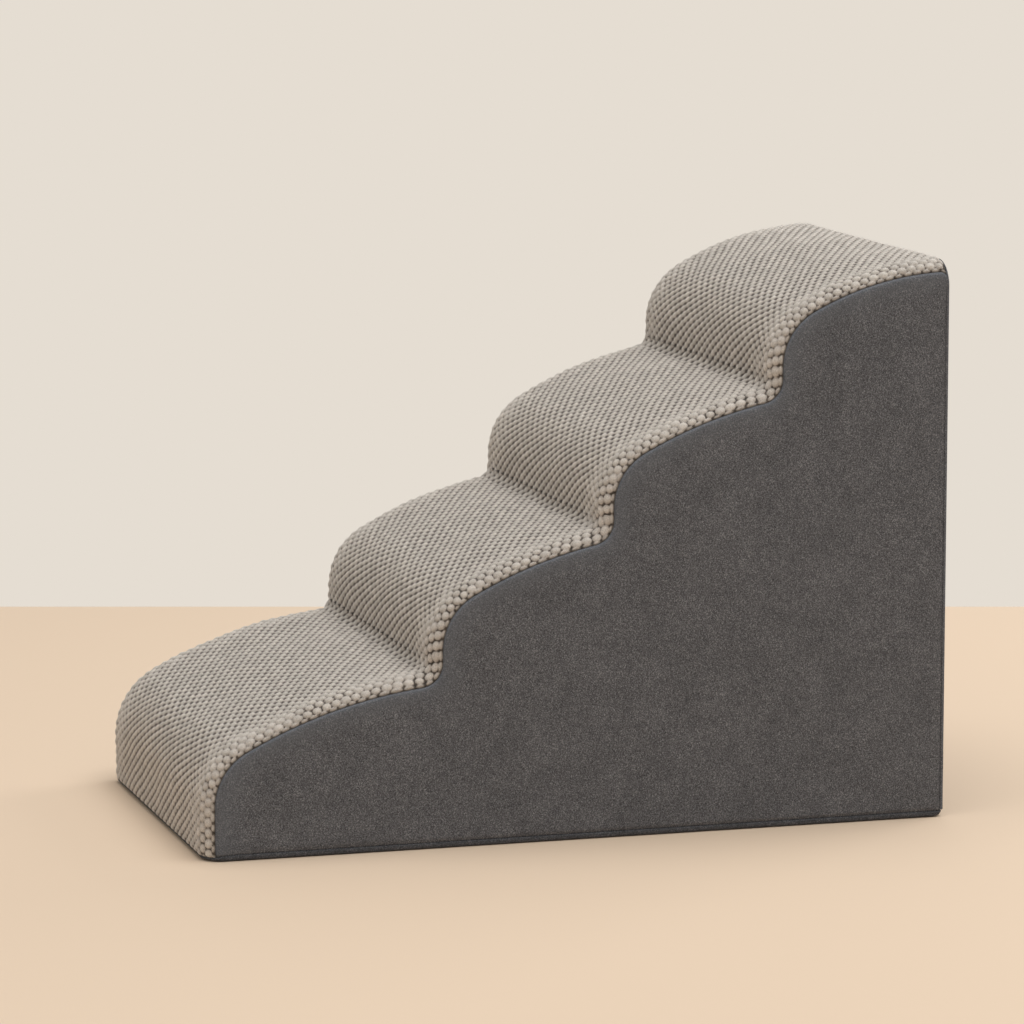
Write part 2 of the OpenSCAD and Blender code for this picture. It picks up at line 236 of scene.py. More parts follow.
def knitFinish():
    finish, shader, place = startFinish("bobble_knit", 0.9, 0.2, Sheen_Weight=0.25, Sheen_Roughness=0.6)
    height = addNode(finish, "Attribute", attribute_name="knitHeightShade").outputs["Fac"]
    tone = addNode(finish, "Attribute", attribute_name="knitTone").outputs["Fac"]
    fuzz = noise(finish, place, knitLook["fuzzScale"], 3, 0.6)
    strands = waves(finish, stretched(finish, place, turn=aslant), knitLook["strandScale"], 5.0,
        {"Detail": 2.0, "Detail Scale": 1.4})
    # the colour follows the knit's height: painted shade in the gaps and valleys between bobbles
    tint = ramp(finish, height, [(0.14, knitLook["gap"]), (0.42, knitLook["valley"]),
        (0.62, knitLook["flank"]), (0.92, knitLook["crown"])])
    shade = spread(finish, tone, 0.9, 1.06)
    flecks = maths(finish, "MULTIPLY", shade, spread(finish, fuzz, 0.72, 1.22, 0.28, 0.72))
    flecks = maths(finish, "MULTIPLY", flecks, spread(finish, strands, 0.93, 1.04))
    link(finish, mixColours(finish, "MULTIPLY", 1.0, tint, flecks), shader.inputs["Base Color"])
    bump(finish, shader, weighted(finish, (strands, 0.6), (fuzz, 0.7)), knitLook["relief"], 0.9)
    return finish


suedeLook = {
    "dark": colour(54, 55, 58),
    "light": colour(100, 101, 105),
    "fleck": colour(150, 151, 155),
    # band is a painted sheen: a lighter, bluer tone along the rolled edges
    "band": colour(102, 106, 112),
    "grainScale": 880,
    "brushScale": 190,
    "mottleScale": 34,
    "sheenBandShare": 0.4,       # how much of the painted sheen band shows along the rolled edges
    "relief": 0.0009,
}


def lifted(tint, lift):
    return (*(value * lift for value in tint[:3]), 1)


def suedeFinish(name="side_suede", lift=1.0, sheen=0.12):
    finish, shader, place = startFinish(name, 0.85, 0.2, Sheen_Weight=sheen, Sheen_Roughness=0.5,
        Sheen_Tint=colour(205, 212, 222))
    place = stretched(finish, place, turn=aslant)
    grain = noise(finish, place, suedeLook["grainScale"], 2, 0.6)
    brushed = stretched(finish, place, (1, 1, 0.6), (0, 0.5, 0))
    brushed = noise(finish, brushed, suedeLook["brushScale"], 3, 0.6)
    mottle = noise(finish, place, suedeLook["mottleScale"], 3, 0.55)
    nap = weighted(finish, (grain, 0.78), (brushed, 0.12), (mottle, 0.1))
    stops = ((0.34, "dark"), (0.54, "light"), (0.7, "fleck"))
    tint = ramp(finish, nap, [(stop, lifted(suedeLook[key], lift)) for stop, key in stops])
    # painted sheen: the band colour is mixed in along the rolled edges
    band = addNode(finish, "Attribute", attribute_name="edgeSheenBand").outputs["Fac"]
    band = maths(finish, "MULTIPLY", band, suedeLook["sheenBandShare"])
    link(finish, mixColours(finish, "MIX", band, tint, suedeLook["band"]), shader.inputs["Base Color"])
    link(finish, spread(finish, mottle, 0.78, 0.92), shader.inputs["Roughness"])
    bump(finish, shader, nap, suedeLook["relief"], 0.8)
    return finish


def gripFinish():
    finish, shader, place = startFinish("base_grip_rubber", 0.62, 0.35)
    speckle = noise(finish, place, 700, 3)
    tinted(finish, shader, speckle, (0.3, colour(50, 49, 49)), (0.7, colour(66, 65, 64)))
    link(finish, spread(finish, speckle, 0.5, 0.75), shader.inputs["Roughness"])
    bump(finish, shader, speckle, 0.0001, 0.5)
    return finish


def foamFinish(name, pale, poreShade, cellScale):
    finish, shader, place = startFinish(name, 0.95, 0.15)
    cells = addNode(finish, "TexVoronoi", {"Vector": place, "Scale": cellScale},
        feature="DISTANCE_TO_EDGE").outputs["Distance"]
    walls = spread(finish, cells, 0, 1, 0.02, 0.22)
    # cell middles take the darker colour: painted shade in the pores
    tint = ramp(finish, walls, [(0, pale), (1, poreShade)])
    clouds = ramp(finish, noise(finish, place, 25), [(0.35, (0.86, 0.84, 0.78, 1)), (0.65, (1, 1, 1, 1))])
    link(finish, mixColours(finish, "MULTIPLY", 0.5, tint, clouds), shader.inputs["Base Color"])
    bump(finish, shader, maths(finish, "SUBTRACT", 1.0, walls), 0.0006, 0.8)
    return finish


def tapeFinish():
    finish, shader, place = startFinish("zip_tape_weave", 0.8, 0.25, Sheen_Weight=0.2)
    crossed = stretched(finish, place, (0, 1, 1), (0.79, 0, 0))
    twill = waves(finish, crossed, 330, 0.6, {"Detail": 1.0}, bands_direction="Y")
    yarn = noise(finish, place, 1600)
    tinted(finish, shader, twill, (0.15, colour(48, 46, 46)), (0.85, colour(82, 79, 78)))
    bump(finish, shader, weighted(finish, (twill, 1.0), (yarn, 0.4)), 0.00025, 0.9)
    return finish


def toothFinish():
    finish, shader, place = startFinish("zip_tooth_plastic", 0.42, 0.5)
    mould = noise(finish, place, 900)
    scuff = noise(finish, stretched(finish, place, (1, 0.15, 1)), 700, 3)
    tinted(finish, shader, scuff, (0.45, colour(50, 49, 50)), (0.72, colour(84, 82, 82)))
    link(finish, spread(finish, mould, 0.34, 0.56), shader.inputs["Roughness"])
    bump(finish, shader, mould, 0.00006, 0.5)
    return finish


def sliderFinish():
    finish, shader, place = startFinish("slider_painted_metal", 0.35, 0.5, Coat_Weight=0.3,
        Coat_Roughness=0.25)
    wear = noise(finish, place, 420, 4, 0.65)
    scratch = noise(finish, stretched(finish, place, (1, 0.08, 1.6)), 1500)
    worn = spread(finish, maths(finish, "MULTIPLY", wear, scratch), 0, 1, 0.33, 0.44)
    link(finish, mixColours(finish, "MIX", worn, colour(84, 84, 88), colour(168, 168, 170)),
        shader.inputs["Base Color"])
    link(finish, worn, shader.inputs["Metallic"])
    link(finish, spread(finish, scratch, 0.28, 0.5), shader.inputs["Roughness"])
    bump(finish, shader, scratch, 0.00004, 0.4)
    return finish


def threadFinish():
    finish, shader, place = startFinish("stitch_thread", 0.6, 0.35, Sheen_Weight=0.3)
    ply = waves(finish, stretched(finish, place, turn=(0.5, 0.4, 0.9)), 700, 1.0)
    tinted(finish, shader, ply, (0.1, colour(112, 110, 110)), (0.9, colour(158, 155, 153)))
    bump(finish, shader, ply, 0.0001, 0.7)
    return finish


knitCloth = knitFinish()
suedeCloth = suedeFinish()
# the side suede darkened: painted shade on the base's lip along the floor
shadedHemCloth = suedeFinish("base_hem_suede_shaded", 0.62, 0.03)
gripRubber = gripFinish()
# each foam's second colour is painted shade in its pores
softFoam = foamFinish("soft_foam_cells", colour(216, 199, 162), colour(176, 156, 118), 1500)
coreFoam = foamFinish("core_foam_cells", colour(222, 212, 190), colour(184, 172, 148), 1200)
tapeCloth = tapeFinish()
toothPlastic = toothFinish()
sliderMetal = sliderFinish()
stitchThread = threadFinish()
print("finishes made")


# The stair line's arcs, and how cloth lies on them
def stepParts(step):
    # centres, radii and turning points of one step's arcs
    line = stairLine
    nose = np.array([line["stepX"][step] + line["noseRadius"], line["stepZ"][step] + line["riser"][step]])
    away = np.array([-math.cos(line["noseTurn"]), math.sin(line["noseTurn"])])
    noseEnd = nose + line["noseRadius"] * away
    chord = np.array([line["stepX"][step + 1], line["stepZ"][step + 1]]) - noseEnd
    treadRadius = -(chord @ chord) / (2 * (chord @ away))
    tread = noseEnd - treadRadius * away
    creaseX = line["stepX"][step + 1] - line["creaseRadius"]
    creaseZ = tread[1] + math.sqrt((treadRadius + line["creaseRadius"]) ** 2 - (creaseX - tread[0]) ** 2)
    return nose, tread, treadRadius, np.array([creaseX, creaseZ])


def arcRun(centre, radius, start, end, side, spacing):
    count = max(2, round(abs(end - start) * radius / spacing))
    turns = start + (end - start) * np.arange(count) / count
    away = np.stack([np.cos(turns), np.sin(turns)], -1)
    return centre + radius * away, side * away


def stepRun(step, spacing, low):
    # points on the cloth's face from one riser's foot to the next, and the way each faces
    nose, tread, treadRadius, crease = stepParts(step)
    line = stairLine
    foot = low if step == 0 else stepParts(step - 1)[3][1]
    riserCount = max(2, round((nose[1] - foot) / spacing))
    riserZ = foot + (nose[1] - foot) * np.arange(riserCount) / riserCount
    riser = np.stack([np.full(riserCount, line["stepX"][step]), riserZ], -1)
    noseEnd = math.pi - line["noseTurn"]
    runs = [(riser, np.tile([-1.0, 0.0], (riserCount, 1))),
        arcRun(nose, line["noseRadius"], math.pi, noseEnd, 1, spacing)]
    if step == lastStep:
        turn = math.acos((panelX - toeX - tread[0]) / treadRadius)
        runs.append(arcRun(tread, treadRadius, noseEnd, turn, 1, spacing))
        endFacing = np.array([math.cos(turn), math.sin(turn)])
        end = tread + treadRadius * endFacing
    else:
        turn = math.atan2(*(crease - tread)[::-1])
        runs.append(arcRun(tread, treadRadius, noseEnd, turn, 1, spacing))
        runs.append(arcRun(crease, line["creaseRadius"], turn + math.pi, 2 * math.pi, -1, spacing / 2))
        endFacing = np.array([-1.0, 0.0])
        end = crease + np.array([line["creaseRadius"], 0])
    points, facing = (np.concatenate(part) for part in zip(*runs, (end[None], endFacing[None])))
    along = np.concatenate([[0], np.cumsum(np.linalg.norm(np.diff(points, axis=0), axis=1))])
    return points, facing, along


def stacked(x, y, z):
    return np.stack(np.broadcast_arrays(x, y, z), -1)


def overTheEdge(points, facing, across, depth):
    # lays cloth over the stair line: across runs from seam to seam, depth goes into the foam
    flat, radius = halfWidth - edgeRadius, edgeRadius - depth
    turn = np.maximum((np.abs(across) - flat) / edgeRadius, 0)
    y = np.where(turn > 0, np.sign(across) * (flat + radius * np.sin(turn)), across)
    into = np.where(turn > 0, edgeRadius - radius * np.cos(turn), depth)
    x = toeX + points[:, 0:1] - into * facing[:, 0:1]
    z = floorZ + points[:, 1:2] - into * facing[:, 1:2]
    return stacked(x, y, z)


def smoothStep(value):
    value = np.clip(value, 0, 1)
    return value * value * (3 - 2 * value)


def softenEnds(points):
    # rounds the cover's lowest edges and the top edge of its back, over all its pieces alike
    points = np.array(points, float)
    x, z = points[..., 0].copy(), points[..., 2].copy()
    lower, upper = softEnds["lower"], softEnds["upper"]
    atBack = smoothStep((x - backX + softEnds["reach"]) / softEnds["reach"])
    atToe = smoothStep((toeX + softEnds["reach"] - x) / softEnds["reach"])
    foot = np.clip(lower - (z - floorZ), 0, lower * 0.93)
    points[..., 0] = x + (atToe - atBack) * (lower - np.sqrt(lower ** 2 - foot ** 2))
    over = np.clip(x - (backX - upper), 0, upper * 0.97)
    drop = upper - np.sqrt(upper ** 2 - over ** 2)
    points[..., 2] = z - drop * smoothStep((z - coverBox[1].z + softEnds["topFrom"]) / softEnds["topOver"])
    return points


# Closed meshes from two faces of a cloth
def zipEnds(firstAcross, secondAcross, firstStart, secondStart):
    # triangles between two rows of points whose counts differ
    faces, i, j = [], 0, 0
    while i < len(firstAcross) - 1 or j < len(secondAcross) - 1:
        takeFirst = j == len(secondAcross) - 1 or (
            i < len(firstAcross) - 1 and firstAcross[i + 1] <= secondAcross[j + 1])
        if takeFirst:
            faces.append((firstStart + i, firstStart + i + 1, secondStart + j))
            i += 1
        else:
            faces.append((firstStart + i, secondStart + j + 1, secondStart + j))
            j += 1
    return faces


def gridFaces(rows, columns, start):
    a = start + (np.arange(rows - 1)[:, None] * columns + np.arange(columns - 1)[None]).ravel()
    return np.stack([a, a + columns, a + columns + 1, a + 1], -1).tolist()


def ringFaces(rings, count, start=0):
    # faces between rings of points, with a lid on the first ring and on the last
    faces = []
    for ring in range(rings - 1):
        for i in range(count):
            a, b = start + ring * count + i, start + ring * count + (i + 1) % count
            faces.append((a, b, b + count, a + count))
    faces.append(tuple(reversed(range(start, start + count))))
    faces.append(tuple(range(start + (rings - 1) * count, start + rings * count)))
    return faces


def circle(sides):
    turns = 2 * math.pi * np.arange(sides) / sides
    return zip(np.cos(turns).tolist(), np.sin(turns).tolist())


def newMesh(name, points, faces):
    mesh = bpy.data.meshes.new(name)
    mesh.from_pydata(points, [], faces)
    return mesh


def clothPiece(name, outer, inner, outerAcross, innerAcross, finish, attributes=None):
    # a closed piece of cloth from its outer face and its inner face, both in rows along the piece
    rows, columns = outer.shape[:2]
    innerColumns = inner.shape[1]
    start = rows * columns
    points = softenEnds(np.concatenate([outer.reshape(-1, 3), inner.reshape(-1, 3)]))
    faces = gridFaces(rows, columns, 0) + [face[::-1] for face in gridFaces(rows, innerColumns, start)]
    for row in range(rows - 1):
        a, b = row * columns, start + row * innerColumns
        faces.append((a, b, b + innerColumns, a + columns))
        c, d = a + columns - 1, b + innerColumns - 1
        faces.append((c, c + columns, d + innerColumns, d))
    faces += zipEnds(outerAcross, innerAcross, 0, start)
    lastOuter, lastInner = (rows - 1) * columns, start + (rows - 1) * innerColumns
    faces += [face[::-1] for face in zipEnds(outerAcross, innerAcross, lastOuter, lastInner)]
    mesh = newMesh(name, points.tolist(), faces)
    for key, values in (attributes or {}).items():
        layer = mesh.attributes.new(key, "FLOAT", "POINT")
        full = np.concatenate([np.asarray(values, float).ravel(), np.zeros(len(points) - start)])
        layer.data.foreach_set("value", full.astype(np.float32))
    unwrap(mesh, rows, outerAcross, innerAcross)
    borders = [np.arange(columns), lastOuter + np.arange(columns),
        start + np.arange(innerColumns), lastInner + np.arange(innerColumns)]
    sharpen(mesh, borders)
    return finishPiece(name, mesh, finish)


def sharpen(mesh, runs):
    # keeps the face's shading from bending over at the cut ends
    pairs = np.concatenate([np.stack([run[:-1], run[1:]], -1) for run in runs])
    edges = np.zeros(len(mesh.edges) * 2, np.int64)
    mesh.edges.foreach_get("vertices", edges)
    edges = np.sort(edges.reshape(-1, 2), axis=1)
    count = len(mesh.vertices)
    marked = np.isin(edges[:, 0] * count + edges[:, 1], pairs.min(1) * count + pairs.max(1))
    sharp = mesh.attributes.new("sharp_edge", "BOOLEAN", "EDGE")
    sharp.data.foreach_set("value", marked)


def unwrap(mesh, rows, outerAcross, innerAcross):
    # the cloth's own flat layout: the face fills most of it, the inside a strip beside it
    places = []
    for across, start, width in ((outerAcross, 0.01, 0.87), (innerAcross, 0.9, 0.09)):
        share = (across - across[0]) / (across[-1] - across[0])
        grid = np.meshgrid(start + width * share, np.linspace(0, 1, rows))
        places.append(np.stack(grid, -1).reshape(-1, 2))
    place = np.concatenate(places)
    layer = mesh.uv_layers.new(name="OFBake")
    corners = np.zeros(len(mesh.loops), np.int32)
    mesh.loops.foreach_get("vertex_index", corners)
    layer.data.foreach_set("uv", place[corners].astype(np.float32).ravel())


def finishPiece(name, mesh, finish, smooth=True):
    mesh.validate()
    mesh.polygons.foreach_set("use_smooth", [smooth] * len(mesh.polygons))
    mesh.materials.append(finish)
    piece = addObject(name, mesh)
    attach(piece, "stairs")
    return piece


# Foam under the cover
foam = {
    "give": 0.0008,         # how much the cover presses it in
    "longestEdge": 0.03,
    "unevenness": 0.00025,
}


def addFoam(name, node, finish):
    # cut from the same block as the solid, pressed in a little and with an uneven, sawn surface
    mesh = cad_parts[node].data.copy()
    mesh.name = name
    mesh.materials.clear()
    work = bmesh.new()
    work.from_mesh(mesh)
    bmesh.ops.remove_doubles(work, verts=work.verts, dist=1e-6)
    bmesh.ops.triangulate(work, faces=work.faces)
    for _ in range(5):
        longEdges = [edge for edge in work.edges if edge.calc_length() > foam["longestEdge"]]
        if not longEdges:
            break
        bmesh.ops.subdivide_edges(work, edges=longEdges, cuts=1)
        bmesh.ops.triangulate(work, faces=work.faces)
    work.normal_update()
    moves = []
    for vertex in work.verts:
        x, y, z = vertex.co
        wander = foam["unevenness"] * math.sin(x * 310 + y * 170) * math.sin(z * 290 - y * 130)
        moves.append(vertex.co - vertex.normal * (foam["give"] + wander))
    for vertex, place in zip(work.verts, softenEnds(np.array(moves))):
        vertex.co = place
    work.to_mesh(mesh)
    work.free()
    piece = finishPiece(name, mesh, finish, smooth=False)
    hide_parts(node)


addFoam("foam_comfort_layer", "comfort_foam", softFoam)
for slab in ("bottom", "lower", "upper", "top"):
    addFoam("foam_%s_slab" % slab, "%s_foam_slab" % slab, coreFoam)
print("foam cut")


# Knitted tread cover, one piece for each step
knit = {
    "rowPitch": 0.0098,     # one bobble above another
    "columnPitch": 0.0165,  # two staggered columns
    "edgePitch": 0.0145,    # the same, where the cloth bunches along the side seams
    "ballRadius": 0.005,
    "length": 0.93,         # under 1, a bobble is longer than it is wide
    "sizeSpread": 0.1,
    "liftSpread": 0.07,
    "relief": 0.003,        # from the bottom of a gap to the top of a bobble
    "edgeRelief": 0.0038,
    "edgeFloor": 0.18,      # how far up the gaps between the edge bobbles are filled
    "bunchReach": 0.06,     # how far in from a seam the edge bobbles begin
    "bunchOver": 0.042,
    "riserReach": 0.014,    # and how much further in on a riser
    "rib": 0.46,            # how far bobbles join into slanting ribs on the risers
    "creaseReach": 0.06,    # how far from a crease the edge rows are eased
    "proud": 0.0005,        # how far a bobble stands out of the cover's face
    "tuck": 0.0026,         # how deep, and over what width, the cloth turns into a seam
    "endTuck": 0.003,
    "underside": 0.0007,    # how far the lining lies below the cloth's thickness
    "spacing": 0.0012,
    "seed": 14,
}
seamReach = (halfWidth - edgeRadius) + edgeRadius * stairLine["seamTurn"]
dice = np.random.RandomState(knit["seed"])
diceSize = 4096
bobbleLift = dice.rand(diceSize) * 2 - 1
bobbleTone = dice.rand(diceSize)


def bunching(across, wider=0.0):
    # 0 over the tread, 1 along the side seams
    return smoothStep((np.abs(across) - (seamReach - knit["bunchReach"] - wider)) / knit["bunchOver"])


def columnWidth(across):
    return knit["columnPitch"] + (knit["edgePitch"] - knit["columnPitch"]) * bunching(across)


acrossTable = np.linspace(-seamReach, seamReach, 2001)
columnSteps = np.diff(acrossTable) / columnWidth((acrossTable[1:] + acrossTable[:-1]) / 2)
columnTable = np.concatenate([[0], np.cumsum(columnSteps)])


def sway(row, column):
    # the rows of a knit never run quite straight
    rowSway = 0.05 * np.sin(column * 0.61 + row * 0.13) + 0.035 * np.sin(column * 1.7 - row * 0.41)
    columnSway = 0.03 * np.sin(row * 0.37 + column * 0.9) + 0.02 * np.sin(row * 1.3 - column * 0.5)
    return row + rowSway, column + columnSway


def edgeFall(across):
    # how far the cover's face has dropped where it turns over a side edge
    turn = np.maximum((np.abs(across) - halfWidth) / edgeRadius + 1, 0)
    return edgeRadius * (1 - np.cos(turn))


def creaseTurn(step):
    # how far the cloth turns back in the crease behind a step
    _, tread, _, crease = stepParts(step)
    toCrease = crease - tread
    return math.pi - math.atan2(toCrease[1], toCrease[0])


def slack(step, along):
    # the turn that the edge rows have to make up for, spread over the cloth either side of each crease
    reach, radius = knit["creaseReach"], stairLine["creaseRadius"]
    turned = np.zeros_like(along)
    if step > 0:
        turned = -creaseTurn(step - 1) / 2 * (1 - smoothStep(along / reach))
    if step < lastStep:
        turn = creaseTurn(step)
        before = along[-1] - turn * radius - along
        rising = turn / 2 * smoothStep(1 - before / reach)
        turned = np.where(before > 0, turned + rising, turn / 2 + before / radius)
    return turned


def nearestBobble(row, column, width, turned):
    # how far the nearest bobble's middle is, in ball radii, and the bobble's number
    best, pick = np.full(row.shape, 99.0), np.zeros(row.shape, int)
    for shift in (0.0, 0.5):
        atColumn = np.round(column - shift)
        fall = edgeFall(np.interp(atColumn + shift, columnTable, acrossTable)) * turned
        atRow = np.round(row - fall / knit["rowPitch"] - shift)  # keeps bobbles round where the edge turns
        rowAway = row * knit["rowPitch"] - fall - (atRow + shift) * knit["rowPitch"]
        away = (rowAway * knit["length"]) ** 2 + ((column - shift - atColumn) * width) ** 2
        number = (atRow * 97 + atColumn * 31 + (40 if shift else 0)).astype(int) % diceSize
        nearer = away < best
        best, pick = np.where(nearer, away, best), np.where(nearer, number, pick)
    return np.sqrt(best) / knit["ballRadius"], pick


def bobbles(along, across, riserShare, turned):
    # how high the knit stands, from 0 in a gap to 1 on a bobble, and each bobble's tone
    columnAt = np.interp(across, acrossTable, columnTable)
    row, column = sway(*np.meshgrid(along / knit["rowPitch"], columnAt, indexing="ij"))
    bunched = bunching(across[None], knit["riserReach"] * riserShare)
    overRow, overColumn = 2 * math.pi * row, 2 * math.pi * column
    rib = knit["rib"] * riserShare * (1 - bunched)
    weave = np.cos(overRow) * np.cos(overColumn) - rib * np.sin(overRow) * np.sin(overColumn)
    weave = weave / (1 + 0.4 * rib)
    web = np.where(weave > 0, 0.70 + 0.30 * np.abs(weave) ** 0.8, 0.70 * (1 - np.abs(weave)))
    away, pick = nearestBobble(row, column, columnWidth(across)[None], turned)
    size = 1 + knit["sizeSpread"] * bobbleLift[pick]
    ball = np.sqrt(np.clip(1 - (away / size) ** 2, 0, 1))
    height = web + (np.maximum(ball, knit["edgeFloor"]) - web) * (0.22 + 0.78 * bunched)
    height = height + knit["liftSpread"] * bobbleLift[pick] * np.clip(1 - away, 0, 1)
    return height, bobbleTone[pick]


def knitStep(step, startAlong):
    low = coverBox[0].z - floorZ
    points, facing, along = stepRun(step, knit["spacing"], low)
    across = np.linspace(-seamReach, seamReach, round(2 * seamReach / knit["spacing"]))
    riserShare = smoothStep((-facing[:, 0] - 0.5) / 0.45)[:, None]
    height, tone = bobbles(startAlong + along, across, riserShare, slack(step, along)[:, None])
    relief = knit["relief"] + (knit["edgeRelief"] - knit["relief"]) * bunching(across)[None]
    puckers = 0.0004 * np.sin(across[None] * 41 + along[:, None] * 17)
    puckers = puckers + 0.0003 * np.sin(along[:, None] * 63 - across[None] * 23)
    ends = smoothStep(np.minimum(along, along[-1] - along) / 0.01)[:, None]  # still where steps meet
    depth = relief * (1 - height) - knit["proud"] + puckers * ends
    tuck = 1 - smoothStep((seamReach - np.abs(across))[None] / knit["tuck"])
    if step == 0:
        tuck = np.maximum(tuck, 1 - smoothStep(along[:, None] / knit["endTuck"]))
    if step == lastStep:
        tuck = np.maximum(tuck, 0.45 - 0.45 * smoothStep((along[-1] - along)[:, None] / knit["endTuck"]))
    depth = depth + (knit["tuck"] - depth) * tuck
    outer = overTheEdge(points, facing, across[None], depth)
    half = np.linspace(halfWidth - edgeRadius, seamReach, 6)
    innerAcross = np.concatenate([-half[::-1], half])
    under = np.full((len(points), len(innerAcross)), stairLine["clothThick"] + knit["underside"])
    inner = overTheEdge(points, facing, innerAcross[None], under)
    if step == lastStep:  # the last row ends on the plane of the back
        reach = smoothStep((along - along[-1] + 0.02) / 0.02)[:, None]
        for face in (outer, inner):
            face[:, :, 0] += (panelX - face[-1:, :, 0]) * reach
    # the height that colours the knit is halved where the cloth tucks into a seam: painted shade in the seams
    piece = clothPiece("knit_step_%d" % (step + 1), outer, inner, across, innerAcross, knitCloth,
        {"knitHeightShade": height * (1 - 0.5 * tuck), "knitTone": tone})
    return piece, startAlong + along[-1]


def addKnitCover():
    reached = 0.0
    for step in range(lastStep + 1):
        piece, reached = knitStep(step, reached)
        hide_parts("tread_cover")
    print("knit cover laid, %.3f m long" % reached)


addKnitCover()


# Suede side panels
sidePanel = {
    "spacing": 0.003,
    "seamGap": 0.0003,
    "seamTuck": 0.0019,     # how deep the turned edge goes into the seam
    "seamWidth": 0.0024,
    "puff": 0.0012,
    "puffReach": 0.045,
    "footTurn": 0.0009,     # how far the lower edge turns in, towards the base
    "footWidth": 0.0022,
    "band": 0.009,          # how far the painted sheen along the rolled edge reaches in
    "liningShare": 0.9,
    "liningDrop": 0.0034,
    "rolled": 10,
    "rings": 56,
}


def wholeRun(spacing, low):
    runs = [stepRun(step, spacing, low)[:2] for step in range(lastStep + 1)]
    for step in range(lastStep):  # a step's last point is the next one's first
        runs[step] = [part[:-1] for part in runs[step]]
    return [np.concatenate(part) for part in zip(*runs)]


def sideSheet(side, lining):
    # the panel's face or its lining: a strip round the rolled edge, then a fan to the back's lower corner
    low = sideBox[0].z - floorZ
    points, facing = wholeRun(sidePanel["spacing"], low)
    start = stairLine["seamTurn"] + sidePanel["seamGap"] / edgeRadius
    turns = start + (math.pi / 2 - start) * np.linspace(0, 1, sidePanel["rolled"]) ** 1.3
    fromSeam = (turns - start) * edgeRadius
    sunk = sidePanel["seamTuck"] * (1 - smoothStep(fromSeam / sidePanel["seamWidth"]))
    across = halfWidth - edgeRadius + edgeRadius * turns
    depth = (sunk + lining)[None].repeat(len(points), 0)
    rolled = overTheEdge(points, facing, side * across[None], depth)
    rim = rolled[:, -1]
    corner = np.array([panelX, rim[0, 1], floorZ + low])
    share = np.linspace(0, 1, sidePanel["rings"])[1:] ** 0.85
    flat = rim[:, None] + (corner - rim[:, None]) * share[None, :, None]
    toLine = np.min(np.linalg.norm(flat[:, :, None, ::2] - rim[None, None, ::4, ::2], axis=-1), axis=-1)
    toFoot = np.minimum(flat[:, :, 2] - floorZ - low, panelX - flat[:, :, 0])
    swell = 1 - np.exp(-np.minimum(toLine, toFoot) / sidePanel["puffReach"])
    wander = 0.00025 * np.sin(flat[:, :, 0] * 19 + 1) * np.sin(flat[:, :, 2] * 23)
    turnedIn = sidePanel["footTurn"] * (1 - smoothStep(toFoot / sidePanel["footWidth"]))
    flat[:, :, 1] += side * ((sidePanel["puff"] + wander) * swell - turnedIn)
    # painted sheen: full on the rolled edge, fading out over the flat
    band = np.concatenate([np.ones(rolled.shape[:2]), np.exp(-(toLine / sidePanel["band"]) ** 2)], 1)
    face = np.concatenate([rolled, flat], 1)
    if lining:  # reaches down behind the base's lip
        face[:, :, 2] -= sidePanel["liningDrop"] * (1 - smoothStep((face[:, :, 2] - floorZ - low) / 0.004))
    return face, band


def addSidePanel(side, name, node):
    outer, band = sideSheet(side, 0.0)
    inner, _ = sideSheet(side, stairLine["clothThick"] * sidePanel["liningShare"])
    fade = smoothStep((np.arange(len(outer)) - len(outer) + 7) / 6)[:, None]
    rolled = sidePanel["rolled"]
    for face in (outer, inner):  # the rolled edge ends on the plane of the back
        face[:, :rolled, 0] += (panelX - face[-1:, :rolled, 0]) * fade
    if side < 0:
        outer, inner, band = outer[:, ::-1], inner[:, ::-1], band[:, ::-1]
    order = np.arange(outer.shape[1])
    piece = clothPiece(name, outer, inner, order, order, suedeCloth, {"edgeSheenBand": band})
    weld(piece, node)


def weld(piece, node):
    # joins the two faces along the edges, and lets the piece stand for its node
    work = bmesh.new()
    work.from_mesh(piece.data)
    bmesh.ops.remove_doubles(work, verts=work.verts, dist=2e-6)
    bmesh.ops.dissolve_degenerate(work, edges=work.edges, dist=1e-6)
    bmesh.ops.recalc_face_normals(work, faces=work.faces)
    work.to_mesh(piece.data)
    work.free()
    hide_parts(node)


addSidePanel(-1, "suede_right_side", "right_side_panel")
addSidePanel(1, "suede_left_side", "left_side_panel")
print("side panels laid")


# Back of the cover, with a hem along the zip
backPanel = {
    "foldRadius": 0.0018,
    "foldEase": 0.002,
    "flatEdge": 0.001,      # folds are pulled flat this near to a side seam
    "flatOver": 0.008,
    "puff": 0.0005,
    "puffReach": 0.03,
    "creases": 0.0003,
    "creaseReach": 0.02,
    # how far the painted sheen reaches in from the side edges
    "band": 0.006,
    "hemWidth": 0.0085,
    "hemFall": 0.0012,
    "hemLift": 0.0005,
    "upperRows": 150,
    "lowerRows": 46,
    "columns": 130,
}


def closeSpaced(low, high, count):
    # points that crowd towards both ends
    return low + (high - low) * (1 - np.cos(math.pi * np.linspace(0, 1, count))) / 2


def awayFromSides(y):
    # 0 along the side seams, where folds are pulled flat, and 1 further in
    return smoothStep((halfWidth - np.abs(y) - backPanel["flatEdge"]) / backPanel["flatOver"])


def turnedEdge(distance, radius):
    inside = np.clip(radius - distance, 0, radius)
    return radius - np.sqrt(radius ** 2 - inside ** 2)


